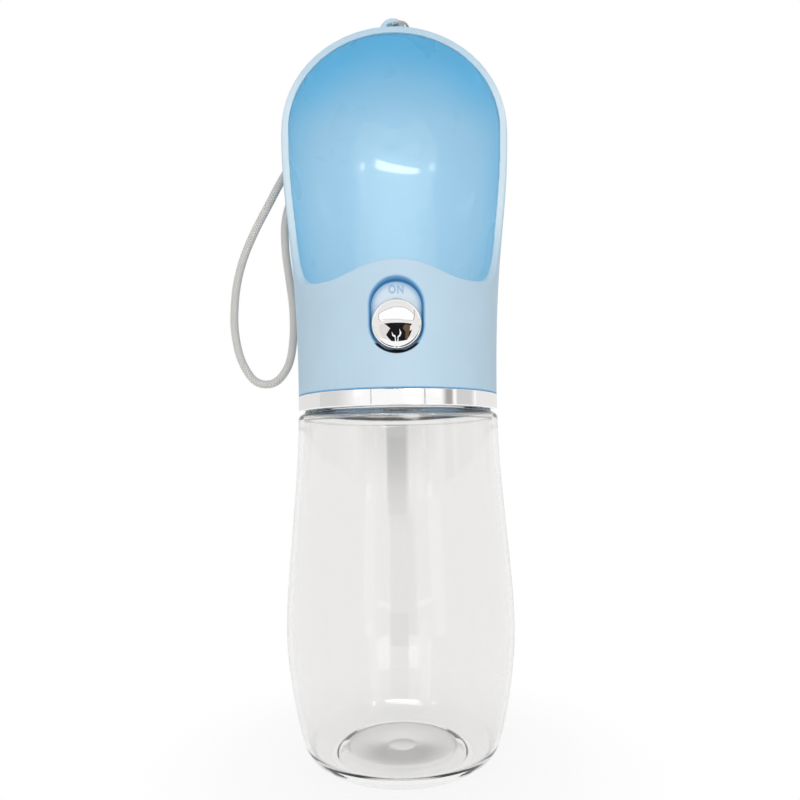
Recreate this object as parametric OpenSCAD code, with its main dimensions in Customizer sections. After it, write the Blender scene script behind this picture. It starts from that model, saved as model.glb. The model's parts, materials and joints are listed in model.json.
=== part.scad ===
// Dog travel water bottle: a clear bottle with a screw-on head that holds a drinking trough.
// The front, with the trough and the push button, faces -Y. The bottle stands on z = 0.

/* [Bottle] */
// Widest radius of the bottle
belly_r = 35.5; // [34.5:0.25:37]
// Height of the widest place
belly_z = 41; // [36:0.5:46]
// How far the bottle's shoulder stands out past the foot of the head
waist_out = 0.2; // [0:0.05:0.5]
// Height of the shoulder
shoulder_z = 107.5; // [104:0.5:125]
// Outer radius of the foot's flat land
foot_r = 22; // [21:0.5:24]
// Width of the foot's flat land
foot_land = 2.4; // [1.5:0.1:3]
// Radius of the pushed-in base
recess_r = 17; // [14:0.5:18]
// Depth of the pushed-in base
recess_h = 2.4; // [1:0.1:3]
// Wall of the bottle
bottle_wall = 1.6; // [1.2:0.1:2]
// Radius of the shoulder's rounded edge
shoulder_round = 2.3; // [1.5:0.1:3]
// Outer radius of the neck
neck_r = 26; // [25:0.1:27]
// Wall of the neck
neck_wall = 1.8; // [1.4:0.1:2.2]
// Height of the neck above the shoulder
neck_h = 10.5; // [9:0.1:11]

/* [Head] */
// Height of the head's side, from the trim ring to the start of its dome
side_h = 80.6; // [76:0.2:90]
// Height of the dome
dome_h = 32.3; // [28:0.1:36]
// Widest radius of the head
head_r = 35.2; // [34.2:0.1:36.5]
// Wall of the outer shell, and width of its rim round the mouth
shell_wall = 2.0; // [1.8:0.1:2.1]
// Wall of the trough
trough_wall = 1.1; // [0.9:0.1:1.2]
// Distance from the bottle's axis forward to the rim
rim_forward = 8.5; // [6.5:0.5:11]
// Height of the lip's middle above the trim ring
lip_peak = 35.1; // [33.5:0.1:37]
// Depth of the waves on both sides of the lip's middle
lip_dip = 4.4; // [3:0.1:5]
// Fall of the trough's floor towards the back, in degrees
floor_fall = 9; // [6:0.5:10]
// Height of the trim ring
ring_h = 4.4; // [3.6:0.1:5]
// Gap between the trim ring and the bottle's shoulder
ring_gap = 0.65; // [0.4:0.05:1]

/* [Switch] */
// Radius of the push button
button_r = 6.75; // [6:0.05:7]
// Height of the button's domed face
button_crown = 1.8; // [1.2:0.1:2.4]
// Height of the button's middle above the trim ring, when locked
button_up = 17.3; // [17:0.1:18]
// Travel from locked to unlocked
lock_travel = 5.3; // [4.6:0.1:5.4]
// Travel when pressed
press_travel = 2.5; // [2:0.1:2.7]
// Gap between the button and its pocket, at the pocket's floor
pocket_gap = 0.2; // [0.18:0.01:0.3]
// How much wider the pocket is at the front than at its floor, on each side
pocket_draft = 0.5; // [0.3:0.05:0.7]
// Depth of the pocket, from the foot of the shell
pocket_depth = 3.3; // [3.2:0.05:3.6]
// Radius of the button's shank
shank_r = 2; // [1.8:0.05:2.2]
// Radius of the shank behind its collar
tail_r = 1.5; // [1.3:0.05:1.6]

/* [Valve] */
// Radius of the water port
port_r = 5; // [4.5:0.1:5.5]
// Radius of the valve stem
stem_r = 1.5; // [1.3:0.05:1.6]
// Thickness of the deck over the neck
deck_t = 2; // [1.8:0.1:2.2]
// Thickness of the neck gasket
gasket_t = 1; // [0.8:0.05:1.2]
// Radius of the valve disc
disc_r = 6.8; // [6.5:0.1:7.2]
// Distance from the axis back to the outlet
outlet_back = 13; // [12.5:0.25:15]
// Inner radius of the outlet pipe
outlet_r = 3; // [2.6:0.1:3.2]

/* [Lanyard] */
// Diameter of the wrist cord
cord_d = 2.6; // [2.2:0.1:2.8]
// Diameter of the thin string
string_d = 0.8; // [0.6:0.1:1]
// Radius of the ear on top of the head
ear_r = 4.1; // [3.8:0.1:4.4]
// Thickness of the ear
ear_t = 3.4; // [2.8:0.1:3.8]
// Radius of the round ends of the slot in the ear
ear_slot_r = 0.65; // [0.6:0.05:0.75]

/* [Hidden] */
$fn = 96;

// Clearances
run_gap = 0.05;
slide_gap = 0.15;
free_gap = 0.3;
seat_gap = 0.02;

// Walls and small sizes that several pieces share
plate_t = 1.6;
wall_t = 1.2;
pocket_floor_t = 1.4;
screw_r = 1;

// Levels, from the bottle upwards
base_t = 1.8;
neck_top = shoulder_z + neck_h;
deck_z = neck_top + gasket_t;
deck_top = deck_z + deck_t;
ring_z = shoulder_z + ring_gap;
shell_z = ring_z + ring_h;
side_top = shell_z + side_h;
lip_z = shell_z + lip_peak;
dip_z = lip_z - lip_dip;
button_z = shell_z + button_up;

// Radii at the foot of the head, from the neck outwards
thread_room = 1.3;
core_wall = 1.5;
glue_gap = 0.1;
core_in = neck_r + thread_room;
core_r = core_in + core_wall;
shell_in = core_r + glue_gap;
collar_r = shell_in + shell_wall;
waist_r = collar_r + waist_out;
tongue_t = 0.9;
tongue_r = shell_in + tongue_t;
skirt_up = 0.75;
skirt_z = ring_z + skirt_up;

// Switch, from the front backwards
pocket_r = button_r + pocket_gap;
pocket_wall_t = 0.9;
pocket_out_r = pocket_r + pocket_draft + pocket_wall_t;
pocket_y = -(collar_r - pocket_depth);
pocket_back = pocket_y + pocket_floor_t;
skirt_y = pocket_y - press_travel - free_gap;
button_skirt = 1.2;
button_edge = 0.5;
face_gap = 0.2;
slider_y = pocket_back + face_gap;
slider_back = slider_y + plate_t;
slider_hh = shank_r + run_gap + plate_t;
tail_hh = tail_r + run_gap + plate_t;
slider_in_hw = 5.5;
slider_hw = slider_in_hw + wall_t;
collar_y = slider_back + face_gap;
collar_t = 1;
collar_or = 4.4;
spring_y = collar_y + collar_t;
spring_room = 6.6;
rear_wall_y = spring_y + spring_room;
tip_out = 0.5;
tip_y = rear_wall_y + wall_t + tip_out;
flange_out = 1.3;
flange_hw = slider_hw + flange_out;

// Push bar and its guide
pad_gap = 0.1;
pad_y = tip_y + pad_gap;
pad_t = 1.8;
pad_over = 2.4;
pad_side = 1;
bar_hw = 2.5;
bar_h = 5.1;
bar_down = 3.1;
bar_z = button_z - bar_down;
bar_top = bar_z + bar_h;
wedge_y = -2;
ceiling_top = bar_z - free_gap;
ceiling_t = 2;
ceiling_z = ceiling_top - ceiling_t;
guide_front = -8.5;
guide_top = bar_top + free_gap;
guide_wall = 1.5;
guide_hw = bar_hw + slide_gap + guide_wall;
guide_cap_t = 1;

// Valve chamber and outlet
chamber_in = 8;
chamber_wall = 1.5;
flange_w = 2;
chamber_or = chamber_in + chamber_wall;
chamber_flange = chamber_or + flange_w;
flange_t = 1.6;
seal_mid = chamber_or + 0.4;
seal_section = 0.6;
outlet_or = outlet_r + wall_t;
duct_r = 1.5;

// Trough floor, a plane that falls towards the back
roof_gap = 0.6;
floor_ref_back = 6;
floor_ref_y = slider_y + floor_ref_back;
floor_ref_z = button_z + lock_travel + slider_hh + roof_gap + trough_wall;
function floor_at(y) = floor_ref_z - (y - floor_ref_y) * tan(floor_fall);
sump_up = 0.6;
sump_t = 2.4;
sump_z = floor_at(outlet_back) + sump_up;
sump_r = 7.5;
grommet_t = 1.4;
grommet_r = outlet_or + grommet_t;
guide_back = outlet_back - grommet_r - free_gap;

// Valve and cage
seal_t = 0.85;
disc_t = 1.2;
seal_z = deck_z - seat_gap - seal_t;
disc_z = seal_z - disc_t;
cage_r = 10.6;
cage_wall = 1.6;
cage_down = 0.3;
cage_z = skirt_z - cage_down;
cage_floor = 1.2;
cage_rim = 1.4;
boss_h = 2.4;
stem_up = 1.4;
stem_z = cage_z + stem_up;

// Ear
ear_y = -5.5;
ear_sunk = 1.4;
ear_z = dome_z_at(-ear_y) - ear_sunk;
ear_slot_up = 1.85;
ear_slot_z = ear_z + ear_slot_up;
ear_slot_hw = 1.3;

// Half the length of a cut that goes right through, and the small overrun of a hole's cut
span = 60;
over = 1;

// A cubic curve with n steps from a to d, with its handles at b and c.
function curve(a, b, c, d, n) = [for (i = [0:n]) let (t = i / n, s = 1 - t)
    s * s * s * a + 3 * s * s * t * b + 3 * s * t * t * c + t * t * t * d];
// A quarter ellipse about (0, z0), from the side to the top.
function dome(r, h, z0, n) = [for (i = [1:n]) [r * cos(90 * i / n), z0 + h * sin(90 * i / n)]];
// An arc about a centre.
function arc(cx, cy, r, a0, a1, n) = [for (i = [0:n]) let (a = a0 + (a1 - a0) * i / n)
    [cx + r * cos(a), cy + r * sin(a)]];
// Height of the dome's surface at a distance from the axis.
function dome_z_at(d) = side_top + dome_h * sqrt(1 - pow(d / head_r, 2));

// Side of the bottle, from the foot to the shoulder.
function bottle_side() = concat(
    curve([foot_r, 0], [foot_r + 4, 0], [foot_r + 8, 3.2], [belly_r - 4.4, belly_z / 5], 8),
    curve([belly_r - 4.4, belly_z / 5], [belly_r - 2.6, belly_z * 0.38], [belly_r, belly_z * 0.7],
        [belly_r, belly_z], 10),
    curve([belly_r, belly_z], [belly_r, belly_z + 15], [waist_r, shoulder_z - 19.5],
        [waist_r, shoulder_z - shoulder_round], 14));
function shoulder_arc() = arc(waist_r - shoulder_round, shoulder_z - shoulder_round,
    shoulder_round, 0, 90, 6);
inner_round = 1.2;
// The inside keeps clear of the base, so its foot corner is lifted by the base's thickness.
function inside_side() = [for (p = bottle_side()) if (p[1] > base_t + recess_h + 1)
    [p[0] - bottle_wall, p[1]]];

// Side of the head at a height above its foot, moved in by a wall.
function head_side(w) = [for (p = curve([collar_r, shell_z], [collar_r, shell_z + side_h * 0.58],
    [head_r, shell_z + side_h * 0.665], [head_r, side_top], 16)) [p[0] - w, p[1]]];
function head_dome(w) = dome(head_r - w, dome_h - w, side_top, 16);

// Solid of the head's outer form, moved in by a wall and cut level at a height.
module head_form(w, z0) {
    rotate_extrude()
        polygon(concat([[0, z0], [collar_r - w, z0]], head_side(w), head_dome(w)));
}

// The drinking mouth: all that stands above the wavy lip and in front of the rim. Seen from the
// front, the lip is a wave, and seen from the side, it sweeps back and up into the upright rim.
wave_w = 19.5;
sweep_from = 25;
sweep_h = 17.6;
mouth_top = side_top + dome_h + span / 3;
module mouth(back, drop) {
    low = dip_z - drop;
    wave = curve([0, lip_z - drop], [wave_w * 0.49, lip_z - drop], [wave_w * 0.69, low],
        [wave_w, low], 10);
    left = [for (i = [len(wave) - 1:-1:1]) [-wave[i][0], wave[i][1]]];
    rim_y = back - rim_forward;
    sweep = curve([-sweep_from, low], [-sweep_from * 0.72, low],
        [rim_y - sweep_h * 0.045, low + sweep_h * 0.1], [rim_y, low + sweep_h], 12);
    intersection() {
        translate([0, span, 0])
            rotate([90, 0, 0])
                linear_extrude(2 * span)
                    polygon(concat([[-span, low]], left, wave, [[span, low], [span, mouth_top],
                        [-span, mouth_top]]));
        rotate([90, 0, 90])
            translate([0, 0, -span])
                linear_extrude(2 * span)
                    polygon(concat([[-span, low - over], [-sweep_from, low - over]], sweep,
                        [[rim_y, mouth_top + over], [-span, mouth_top + over]]));
    }
}

// Everything above the trough floor's plane, lowered by a distance.
module above_floor(down) {
    translate([0, floor_ref_y, floor_ref_z - down])
        rotate([-floor_fall, 0, 0])
            translate([-span, -span, 0])
                cube([2 * span, 3 * span, 3 * span]);
}

// A slot with round ends along Z, extruded along Y from y0 to y1.
module upright_slot(r, z0, z1, y0, y1) {
    translate([0, y1, 0])
        rotate([90, 0, 0])
            linear_extrude(y1 - y0) {
                translate([0, z0])
                    circle(r);
                translate([0, z1])
                    circle(r);
                translate([-r, z0])
                    square([2 * r, z1 - z0]);
            }
}

// The same slot with sloping walls: its ends have radius r1 at y1 and r0 at y0.
module flared_slot(r0, r1, z0, z1, y0, y1) {
    for (z = [z0, z1])
        translate([0, y1, z])
            rotate([90, 0, 0])
                cylinder(r1 = r1, r2 = r0, h = y1 - y0);
    translate([0, 0, z0])
        linear_extrude(z1 - z0)
            polygon([[-r1, y1], [-r0, y0], [r0, y0], [r1, y1]]);
}

// A cylinder along Y from y0 to y1 at a height.
module along_y(r, y0, y1, z) {
    translate([0, y1, z])
        rotate([90, 0, 0])
            cylinder(r = r, h = y1 - y0);
}

// A ring about Z.
module ring(r_out, r_in, z0, h) {
    translate([0, 0, z0])
        difference() {
            cylinder(r = r_out, h = h);
            translate([0, 0, -over])
                cylinder(r = r_in, h = h + 2 * over);
        }
}

// A tube of n sides swept along points, each ring square to the path.
function unit(v) = v / norm(v);
function tangent(p, i) = unit(p[min(i + 1, len(p) - 1)] - p[max(i - 1, 0)]);
function carry(u, t) = unit(u - (u * t) * t);
function frames(p, i, u) = i >= len(p) ? [] :
    let (t = tangent(p, i), v = carry(u, t)) concat([[p[i], v, cross(t, v)]], frames(p, i + 1, v));
function side_start(t) = abs(t[2]) < 0.9 ? cross(t, [0, 0, 1]) : cross(t, [1, 0, 0]);
module tube(p, d, n) {
    f = frames(p, 0, side_start(tangent(p, 0)));
    points = [for (q = f) for (k = [0:n - 1])
        q[0] + d / 2 * (cos(360 * k / n) * q[1] + sin(360 * k / n) * q[2])];
    last = n * (len(p) - 1);
    sides = [for (i = [0:len(p) - 2]) for (k = [0:n - 1])
        [n * i + k, n * (i + 1) + k, n * (i + 1) + (k + 1) % n, n * i + (k + 1) % n]];
    ends = [[for (k = [0:n - 1]) k], [for (k = [n - 1:-1:0]) last + k]];
    polyhedron(points, concat(sides, ends), convexity = 6);
}
// Points of a smooth curve through the route, with n steps for each stretch.
function through(p, n) = [for (i = [0:len(p) - 2]) for (j = [0:n - (i < len(p) - 2 ? 1 : 0)])
    let (a = p[max(i - 1, 0)], b = p[i], c = p[i + 1], d = p[min(i + 2, len(p) - 1)], t = j / n)
    0.5 * (2 * b + (c - a) * t + (2 * a - 5 * b + 4 * c - d) * t * t
        + (3 * b - a - 3 * c + d) * t * t * t)];

// A compression spring about Z, from z = 0 to its height, with closed ends.
module spring(mid_r, wire_d, h, turns) {
    steps = 16;
    rise = h - wire_d;
    function lift(t) = t < 1 ? wire_d * 0.5 * t : t > turns - 1
        ? rise - wire_d * 0.5 * (turns - t) : wire_d * 0.5 + (rise - wire_d) * (t - 1) / (turns - 2);
    tube([for (i = [0:steps * turns]) let (t = i / steps)
        [mid_r * cos(360 * t), mid_r * sin(360 * t), wire_d / 2 + lift(t)]], wire_d, 6);
}

module bottle() {
    color([0.9, 0.92, 0.93, 0.45])
        rotate_extrude()
            polygon(concat(
                [[0, recess_h], [recess_r, recess_h], [foot_r - foot_land, 0]],
                bottle_side(), shoulder_arc(),
                [[neck_r, shoulder_z], [neck_r, neck_top], [neck_r - neck_wall, neck_top],
                    [neck_r - neck_wall, shoulder_z - bottle_wall]],
                arc(waist_r - bottle_wall - inner_round, shoulder_z - bottle_wall - inner_round,
                    inner_round, 90, 0, 4),
                [for (i = [len(inside_side()) - 1:-1:0]) inside_side()[i]],
                [[recess_r + 2, base_t + recess_h], [0, base_t + recess_h]]));
}

gasket_out = 0.9;
gasket_in = 0.2;
module neck_gasket() {
    color("whitesmoke")
        ring(neck_r + gasket_out, neck_r - neck_wall + gasket_in, neck_top + seat_gap,
            gasket_t - 2 * seat_gap);
}

ring_edge = 0.8;
module trim_ring() {
    inner = shell_in + glue_gap;
    outer = collar_r + glue_gap;
    color("silver")
        rotate_extrude()
            polygon(concat([[inner, ring_z], [outer - ring_edge, ring_z]],
                arc(outer - ring_edge, ring_z + ring_edge, ring_edge, -90, 0, 5),
                [[outer, shell_z - run_gap], [tongue_r + run_gap, shell_z - run_gap],
                    [tongue_r + run_gap, skirt_z - run_gap], [inner, skirt_z - run_gap]]));
}

// Two bosses inside the shell carry the slider's frame, and each screw goes into a blind hole.
boss_x = 14.5;
boss_r = 2.2;
boss_z = button_z - 1;
boss_back = 2.5;
boss_y = slider_y + boss_back;
pilot_depth = 2.4;
screw_depth = 2.2;
module at_bosses() {
    for (s = [-1, 1])
        translate([s * boss_x, 0, 0])
            children();
}

// Above the trough's floor the shell is a thinner skin that the trough lines. Only its rim keeps the
// full wall, turned in over the trough's edge.
skin_t = shell_wall - trough_wall;
rim_depth = 1.2;
rim_drop = 0.4;
module trough_space() {
    difference() {
        intersection() {
            head_form(skin_t, shell_z);
            above_floor(trough_wall + run_gap);
        }
        mouth(rim_depth, rim_drop);
    }
}

module outer_shell() {
    pocket_top = button_z + lock_travel;
    color([0.74, 0.85, 0.94])
        difference() {
            union() {
                difference() {
                    head_form(0, shell_z);
                    difference() {
                        union() {
                            head_form(shell_wall, shell_z - over);
                            trough_space();
                        }
                        upright_slot(pocket_out_r, button_z, pocket_top, -span, pocket_back);
                        at_bosses()
                            along_y(boss_r, -span, boss_y, boss_z);
                    }
                }
                ring(tongue_r, shell_in, skirt_z, shell_z + over - skirt_z);
                ear();
            }
            mouth(0, 0);
            flared_slot(pocket_r + 2 * pocket_draft, pocket_r, button_z, pocket_top,
                pocket_y - 2 * pocket_depth, pocket_y);
            upright_slot(shank_r + free_gap, button_z, pocket_top, pocket_y - over,
                pocket_back + over);
            at_bosses()
                along_y(screw_r, boss_y - pilot_depth, boss_y + over, boss_z);
        }
}

ear_root = 3;
module ear() {
    difference() {
        translate([0, ear_y + ear_t / 2, 0])
            rotate([90, 0, 0])
                linear_extrude(ear_t)
                    difference() {
                        union() {
                            translate([0, ear_z])
                                circle(ear_r);
                            translate([-ear_r, ear_z - ear_root])
                                square([2 * ear_r, ear_root]);
                        }
                        for (s = [-1, 1])
                            translate([s * ear_slot_hw, ear_slot_z])
                                circle(ear_slot_r);
                        translate([-ear_slot_hw, ear_slot_z - ear_slot_r])
                            square([2 * ear_slot_hw, 2 * ear_slot_r]);
                    }
        head_form(skin_t / 2, shell_z);
    }
}

// The trough's front makes room for the switch pocket with a low hump behind the lip.
module pocket_room(grow) {
    upright_slot(pocket_out_r + glue_gap + grow, button_z, button_z + lock_travel, -span,
        pocket_back + glue_gap + grow);
}
module trough() {
    outer = skin_t + run_gap;
    inner = shell_wall + run_gap;
    color([0.42, 0.72, 0.88])
        difference() {
            union() {
                difference() {
                    intersection() {
                        head_form(outer, shell_z);
                        above_floor(trough_wall);
                    }
                    difference() {
                        intersection() {
                            head_form(inner, shell_z);
                            above_floor(0);
                        }
                        pocket_room(trough_wall);
                    }
                }
                translate([0, outlet_back, sump_z - sump_t])
                    cylinder(r = sump_r + wall_t, h = sump_t);
            }
            pocket_room(0);
            mouth(rim_depth + run_gap, rim_drop + run_gap);
            translate([0, outlet_back, sump_z])
                cylinder(r = sump_r, h = span / 3);
            translate([0, outlet_back, sump_z - span / 3])
                cylinder(r = grommet_r + run_gap, h = span);
        }
}

// The threaded cup that screws on the neck. Four stops on its deck hold the chamber's flange.
stop_w = 6;
stop_root = 0.3;
module socket_core() {
    color([0.36, 0.55, 0.75])
        difference() {
            union() {
                ring(core_r, core_in, skirt_z, deck_z - skirt_z);
                translate([0, 0, deck_z])
                    cylinder(r = core_r, h = deck_t);
                for (a = [45:90:315])
                    rotate(a)
                        translate([chamber_flange + run_gap, -stop_w / 2, deck_top - stop_root])
                            cube([wall_t, stop_w, flange_t + 2 * stop_root]);
            }
            translate([0, 0, deck_z - over])
                cylinder(r = port_r, h = deck_t + 2 * over);
        }
}

pipe_up = 0.4;
module valve_chamber() {
    color("white")
        difference() {
            union() {
                translate([0, 0, deck_top]) {
                    cylinder(r = chamber_flange, h = flange_t);
                    cylinder(r = chamber_or, h = ceiling_top - deck_top);
                    translate([-outlet_or, 0, 0])
                        cube([2 * outlet_or, outlet_back, ceiling_top - deck_top]);
                    translate([0, outlet_back, 0])
                        cylinder(r = outlet_or, h = sump_z + pipe_up - deck_top);
                }
                for (s = [-1, 1])
                    translate([s * (bar_hw + slide_gap + guide_wall / 2) - guide_wall / 2,
                        guide_front, ceiling_top - over])
                        cube([guide_wall, guide_back - guide_front, guide_top - ceiling_top + over]);
            }
            translate([0, 0, deck_top - over])
                cylinder(r = chamber_in, h = ceiling_z - deck_top + over);
            translate([0, 0, deck_top])
                cylinder(r = stem_r + run_gap, h = span / 3);
            translate([0, outlet_back, deck_top + wall_t])
                cylinder(r = outlet_r, h = span / 2);
            along_y(duct_r, 0, outlet_back, (deck_top + ceiling_z) / 2);
            ring(seal_mid + seal_section + run_gap, seal_mid - seal_section - run_gap,
                deck_top - over, 2 * seal_section + over);
        }
}

module o_ring(mid, section, z) {
    translate([0, 0, z])
        rotate_extrude()
            translate([mid, 0])
                circle(section);
}

module chamber_seal() {
    color("dimgray")
        o_ring(seal_mid, seal_section - run_gap / 2, deck_top + seal_section);
}

stem_seal_w = 1.4;
stem_seal_t = 1;
module stem_seal() {
    color("dimgray")
        ring(stem_r + stem_seal_w, stem_r + run_gap, ceiling_z - stem_seal_t, stem_seal_t);
}

grommet_h = 3.2;
grommet_lip = 0.9;
module outlet_grommet() {
    color("whitesmoke")
        translate([0, outlet_back, 0]) {
            ring(grommet_r, outlet_or + run_gap, sump_z - grommet_h, grommet_h + 0.2);
            ring(grommet_r + grommet_lip, outlet_or + run_gap, sump_z, grommet_lip);
        }
}

module guide_cap() {
    color("white")
        translate([-guide_hw, guide_front, guide_top])
            cube([2 * guide_hw, guide_back - guide_front, guide_cap_t]);
}

legs = 3;
leg_gap = 80;
boss_wall = 1;
drains = 6;
drain_at = 6.6;
drain_r = 1.6;
module spring_cage() {
    color("white")
        difference() {
            union() {
                ring(cage_r, cage_r - cage_wall, cage_z, deck_z - cage_z);
                translate([0, 0, cage_z])
                    cylinder(r = cage_r, h = cage_floor);
                translate([0, 0, cage_z])
                    cylinder(r = stem_r + run_gap + boss_wall, h = cage_floor + boss_h);
            }
            translate([0, 0, cage_z - over])
                cylinder(r = stem_r + run_gap, h = span / 3);
            for (i = [0:legs - 1])
                rotate(i * 360 / legs)
                    translate([0, 0, cage_z + cage_floor])
                        rotate_extrude(angle = leg_gap)
                            translate([cage_r - cage_wall - over, 0])
                                square([cage_wall + 2 * over,
                                    deck_z - cage_rim - cage_z - cage_floor]);
            for (i = [0:drains - 1])
                rotate(360 / drains * (i + 0.5))
                    translate([drain_at, 0, cage_z - over])
                        cylinder(r = drain_r, h = cage_floor + 2 * over);
        }
}

module valve_stem() {
    color("white")
        difference() {
            translate([0, 0, stem_z])
                cylinder(r = stem_r, h = bar_top - stem_z);
            translate([0, wedge_y, bar_z - seat_gap])
                rotate([45, 0, 0])
                    translate([-span / 2, -span / 2, 0])
                        cube(span);
        }
}

module valve_disc() {
    color("white")
        ring(disc_r, stem_r, disc_z, disc_t);
}

seal_back = 0.2;
seal_over = 1.8;
module valve_seal() {
    color("dimgray")
        ring(disc_r - seal_back, port_r - seal_over, seal_z, seal_t);
}

wire_d = 0.6;
coils = 5;
valve_coil_out = 2.2;
module valve_spring() {
    color("silver")
        translate([0, 0, cage_z + cage_floor])
            spring(stem_r + valve_coil_out, wire_d, disc_z - cage_z - cage_floor, coils);
}

module push_bar() {
    pad_z0 = button_z - pad_over;
    pad_z1 = button_z + lock_travel + pad_over;
    color("white")
        difference() {
            union() {
                translate([-bar_hw, pad_y, bar_z])
                    cube([2 * bar_hw, wedge_y + bar_h - pad_y, bar_h]);
                translate([-bar_hw - pad_side, pad_y, pad_z0])
                    cube([2 * (bar_hw + pad_side), pad_t, pad_z1 - pad_z0]);
            }
            translate([0, wedge_y, bar_z])
                rotate([-45, 0, 0])
                    translate([-span / 2, 0, -span / 2])
                        cube(span);
        }
}

module lock_slider() {
    tail_z = button_z - tail_hh;
    color([0.36, 0.55, 0.75])
        difference() {
            union() {
                translate([-flange_hw, slider_y, button_z - slider_hh])
                    cube([2 * flange_hw, plate_t, 2 * slider_hh]);
                for (x = [-slider_hw, slider_hw - wall_t])
                    translate([x, slider_y, tail_z])
                        cube([wall_t, rear_wall_y + wall_t - slider_y, 2 * tail_hh]);
                translate([-slider_hw, rear_wall_y, tail_z])
                    cube([2 * slider_hw, wall_t, 2 * tail_hh]);
            }
            along_y(shank_r + run_gap, slider_y - over, slider_back + over, button_z);
            along_y(tail_r + run_gap, rear_wall_y - over, rear_wall_y + wall_t + over, button_z);
        }
}

module slider_frame() {
    rail_in = slider_hw + slide_gap;
    rail_out = flange_hw + slide_gap + wall_t;
    foot_bar = 2;
    z0 = button_z - slider_hh - slide_gap - foot_bar;
    z1 = button_z + lock_travel + slider_hh;
    back = slider_back + slide_gap;
    color([0.36, 0.55, 0.75])
        difference() {
            union() {
                for (s = [0, 1])
                    mirror([s, 0, 0]) {
                        translate([rail_in, back, z0])
                            cube([rail_out - rail_in, plate_t, z1 - z0]);
                        translate([flange_hw + slide_gap, pocket_back, z0])
                            cube([wall_t, back + plate_t - pocket_back, z1 - z0]);
                        translate([flange_hw + slide_gap, boss_y, boss_z - boss_r])
                            cube([boss_x - flange_hw - slide_gap, plate_t, 2 * boss_r]);
                        translate([boss_x, 0, 0])
                            along_y(boss_r, boss_y, boss_y + plate_t, boss_z);
                    }
                translate([-rail_out, pocket_back, z0])
                    cube([2 * rail_out, slider_back - pocket_back, foot_bar]);
            }
            at_bosses()
                along_y(screw_r + slide_gap, boss_y - over, boss_y + plate_t + over, boss_z);
        }
}

head_screw_r = 1.8;
head_t = 1.1;
module frame_screws() {
    color("silver")
        at_bosses() {
            along_y(screw_r - run_gap, boss_y - screw_depth, boss_y + plate_t + head_t, boss_z);
            along_y(head_screw_r, boss_y + plate_t, boss_y + plate_t + head_t, boss_z);
        }
}

module button_cap() {
    crown_r = (pow(button_r - button_edge, 2) + pow(button_crown, 2)) / (2 * button_crown);
    half = asin((button_r - button_edge) / crown_r);
    color("silver")
        translate([0, skirt_y, button_z])
            rotate([90, 0, 0])
                difference() {
                    rotate_extrude()
                        polygon(concat([[0, 0], [button_r, 0], [button_r, button_skirt - button_edge]],
                            arc(button_r - button_edge, button_skirt - button_edge, button_edge,
                                0, 90, 4),
                            arc(0, button_skirt + button_crown - crown_r, crown_r,
                                90 - half, 90, 10)));
                    translate([0, 0, -over])
                        cylinder(r = shank_r + run_gap, h = button_skirt + over);
                }
}

module button_shank() {
    color("white") {
        along_y(shank_r, skirt_y - button_skirt, collar_y + collar_t, button_z);
        along_y(collar_or, collar_y, collar_y + collar_t, button_z);
        along_y(tail_r, collar_y, tip_y, button_z);
    }
}

button_coil_out = 1.3;
module button_spring() {
    color("silver")
        translate([0, rear_wall_y, button_z])
            rotate([90, 0, 0])
                spring(tail_r + button_coil_out, wire_d, rear_wall_y - spring_y, coils);
}

// Lanyard: the thin string goes through the ear's slot and round its side to the ferrule.
string_route = [[-20.5, 22.4, 214.4], [-19, 20.8, 216.2], [-14, 16.5, 219.9], [-8, 10.5, 224],
    [-3, 3.5, 226.1], [-0.8, -1.5, 225.9], [-0.2, -5, 225.6], [0.3, -7.4, 225.6],
    [1.4, -8.4, 225.5], [2.8, -8.4, 225.6], [4, -7.7, 225.45], [4.7, -6.2, 225.25],
    [4.8, -4.2, 225.4], [3.6, -0.5, 225.9], [0, 6, 225.6], [-7, 13, 223.1],
    [-13, 18.5, 218.9], [-17.8, 22.4, 215.8], [-19.4, 23.4, 214]];
ferrule_from = [-19.7, 22.4, 215.5];
ferrule_to = [-24.1, 24.6, 209];
ferrule_r = 3;
// The wrist cord leaves the ferrule, hangs as a long loop at the left and comes back.
cord_route = [[-24.1, 23.2, 210.4], [-28.3, 22.8, 205], [-32.6, 20.2, 198], [-35.6, 15.5, 191.5],
    [-37.6, 9.5, 184.5], [-41, 7, 176.5], [-45.2, 6, 168], [-48.8, 6, 160], [-51.2, 6, 152],
    [-52.4, 6, 143.5], [-52.4, 6, 134.5], [-50.4, 6, 125.5], [-46, 6, 118.8], [-40, 6, 118.2],
    [-35.4, 6, 123.5], [-33.6, 6, 132], [-33.5, 6, 142], [-34.6, 6, 151.5], [-35.7, 6, 161],
    [-36, 7.5, 169.5], [-35.2, 10.8, 177], [-33.6, 15, 184], [-31.4, 19.2, 191.5],
    [-28.7, 23, 198.5], [-25.4, 25.8, 205], [-22.5, 25.2, 210]];

module lanyard_string() {
    color("tan")
        tube(through(string_route, 2), string_d, 8);
}

module lanyard_ferrule() {
    axis = ferrule_to - ferrule_from;
    color("silver")
        translate(ferrule_from)
            rotate([0, acos(axis[2] / norm(axis)), atan2(axis[1], axis[0])])
                cylinder(r = ferrule_r, h = norm(axis));
}

module lanyard_cord() {
    color("lightgray")
        tube(through(cord_route, 1), cord_d, 8);
}

bottle();
neck_gasket();
outer_shell();
trough();
trim_ring();
socket_core();
valve_chamber();
chamber_seal();
stem_seal();
outlet_grommet();
guide_cap();
spring_cage();
valve_stem();
valve_disc();
valve_seal();
valve_spring();
push_bar();
lock_slider();
slider_frame();
frame_screws();
button_cap();
button_shank();
button_spring();
lanyard_string();
lanyard_ferrule();
lanyard_cord();
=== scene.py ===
"""Looks of the dog travel water bottle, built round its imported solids. All lengths are in metres."""

import json
from math import asin, cos, degrees, hypot, pi, radians, sin

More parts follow.
